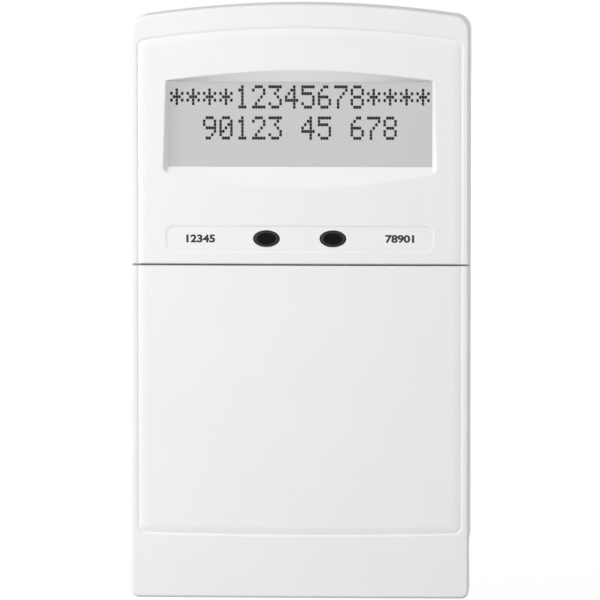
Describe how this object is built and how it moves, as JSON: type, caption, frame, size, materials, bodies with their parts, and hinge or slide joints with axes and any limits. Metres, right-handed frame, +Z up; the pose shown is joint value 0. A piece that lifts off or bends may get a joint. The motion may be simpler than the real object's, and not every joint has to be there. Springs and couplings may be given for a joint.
{
  "type": "alarm keypad panel",
  "caption": "Wall alarm keypad: arched two-part case with a dot-matrix display, status lamps and a fold-down door over rubber keys.",
  "frame": {"origin": "middle of the mounting face that lies on the wall, at half of the panel's height", "axes": "+X to the right as the user sees it, +Y into the wall, so the face looks along -Y, +Z up"},
  "size_m": [0.107, 0.0273, 0.1881],
  "materials": {
    "shell": "moulded, satin with a fine texture",
    "window": "clear moulded plastic, polished",
    "display_glass": "liquid crystal glass, grey",
    "bezel_steel": "pressed and plated",
    "contact_rubber": "matt",
    "light_guide": "milky",
    "strip": "printed film, satin",
    "smoked_lens": "smoked, polished",
    "led_epoxy": "cast epoxy",
    "board": "glass laminate under solder mask",
    "screw_steel": "zinc plated",
    "chip_epoxy": "moulded epoxy",
    "can_metal": "drawn can",
    "resistor_ceramic": "glazed ceramic",
    "sounder_plastic": "moulded",
    "terminal_plastic": "moulded nylon",
    "switch_plastic": "moulded",
    "mat_rubber": "moulded silicone",
    "key_rubber": "moulded silicone with printed legends",
    "small_led": "cast"
  },
  "bodies": {
    "case": {"back_case": "shell", "front_case": "shell", "display_window": "window", "display_glass": "display_glass", "display_bezel": "bezel_steel", "display_contacts": "contact_rubber", "display_backlight": "light_guide", "status_strip": "strip", "armed_lamp": "smoked_lens", "ready_lamp": "smoked_lens", "armed_led": "led_epoxy", "ready_led": "led_epoxy", "main_board": "board", "board_screws": "screw_steel", "terminal_screws": "screw_steel", "tamper_spring": "screw_steel", "controller_chip": "chip_epoxy", "driver_chips": "chip_epoxy", "voltage_regulator": "chip_epoxy", "crystal": "can_metal", "capacitors": "can_metal", "resistors": "resistor_ceramic", "sounder": "sounder_plastic", "terminal_block": "terminal_plastic", "tamper_switch": "switch_plastic", "key_mat": "mat_rubber", "key_backlights": "small_led"},
    "door": {"door": "shell"},
    "key_1": {"key_1": "key_rubber"},
    "key_2": {"key_2": "key_rubber"},
    "key_3": {"key_3": "key_rubber"},
    "key_a": {"key_a": "key_rubber"},
    "key_4": {"key_4": "key_rubber"},
    "key_5": {"key_5": "key_rubber"},
    "key_6": {"key_6": "key_rubber"},
    "key_b": {"key_b": "key_rubber"},
    "key_7": {"key_7": "key_rubber"},
    "key_8": {"key_8": "key_rubber"},
    "key_9": {"key_9": "key_rubber"},
    "key_c": {"key_c": "key_rubber"},
    "key_star": {"key_star": "key_rubber"},
    "key_0": {"key_0": "key_rubber"},
    "key_hash": {"key_hash": "key_rubber"},
    "key_d": {"key_d": "key_rubber"}
  },
  "joints": [
    {"name": "door_hinge", "type": "hinge", "parent": "case", "child": "door", "pos_m": [0, -0.0195, -0.087], "axis": [1, 0, 0], "range_deg": [0, 100]},
    {"name": "key_1_press", "type": "slide", "parent": "case", "child": "key_1", "axis": [0, 1, 0], "range_m": [0, 0.0012], "stiffness_N_per_m": 1000},
    {"name": "key_2_press", "type": "slide", "parent": "case", "child": "key_2", "axis": [0, 1, 0], "range_m": [0, 0.0012], "stiffness_N_per_m": 1000},
    {"name": "key_3_press", "type": "slide", "parent": "case", "child": "key_3", "axis": [0, 1, 0], "range_m": [0, 0.0012], "stiffness_N_per_m": 1000},
    {"name": "key_a_press", "type": "slide", "parent": "case", "child": "key_a", "axis": [0, 1, 0], "range_m": [0, 0.0012], "stiffness_N_per_m": 1000},
    {"name": "key_4_press", "type": "slide", "parent": "case", "child": "key_4", "axis": [0, 1, 0], "range_m": [0, 0.0012], "stiffness_N_per_m": 1000},
    {"name": "key_5_press", "type": "slide", "parent": "case", "child": "key_5", "axis": [0, 1, 0], "range_m": [0, 0.0012], "stiffness_N_per_m": 1000},
    {"name": "key_6_press", "type": "slide", "parent": "case", "child": "key_6", "axis": [0, 1, 0], "range_m": [0, 0.0012], "stiffness_N_per_m": 1000},
    {"name": "key_b_press", "type": "slide", "parent": "case", "child": "key_b", "axis": [0, 1, 0], "range_m": [0, 0.0012], "stiffness_N_per_m": 1000},
    {"name": "key_7_press", "type": "slide", "parent": "case", "child": "key_7", "axis": [0, 1, 0], "range_m": [0, 0.0012], "stiffness_N_per_m": 1000},
    {"name": "key_8_press", "type": "slide", "parent": "case", "child": "key_8", "axis": [0, 1, 0], "range_m": [0, 0.0012], "stiffness_N_per_m": 1000},
    {"name": "key_9_press", "type": "slide", "parent": "case", "child": "key_9", "axis": [0, 1, 0], "range_m": [0, 0.0012], "stiffness_N_per_m": 1000},
    {"name": "key_c_press", "type": "slide", "parent": "case", "child": "key_c", "axis": [0, 1, 0], "range_m": [0, 0.0012], "stiffness_N_per_m": 1000},
    {"name": "key_star_press", "type": "slide", "parent": "case", "child": "key_star", "axis": [0, 1, 0], "range_m": [0, 0.0012], "stiffness_N_per_m": 1000},
    {"name": "key_0_press", "type": "slide", "parent": "case", "child": "key_0", "axis": [0, 1, 0], "range_m": [0, 0.0012], "stiffness_N_per_m": 1000},
    {"name": "key_hash_press", "type": "slide", "parent": "case", "child": "key_hash", "axis": [0, 1, 0], "range_m": [0, 0.0012], "stiffness_N_per_m": 1000},
    {"name": "key_d_press", "type": "slide", "parent": "case", "child": "key_d", "axis": [0, 1, 0], "range_m": [0, 0.0012], "stiffness_N_per_m": 1000}
  ]
}
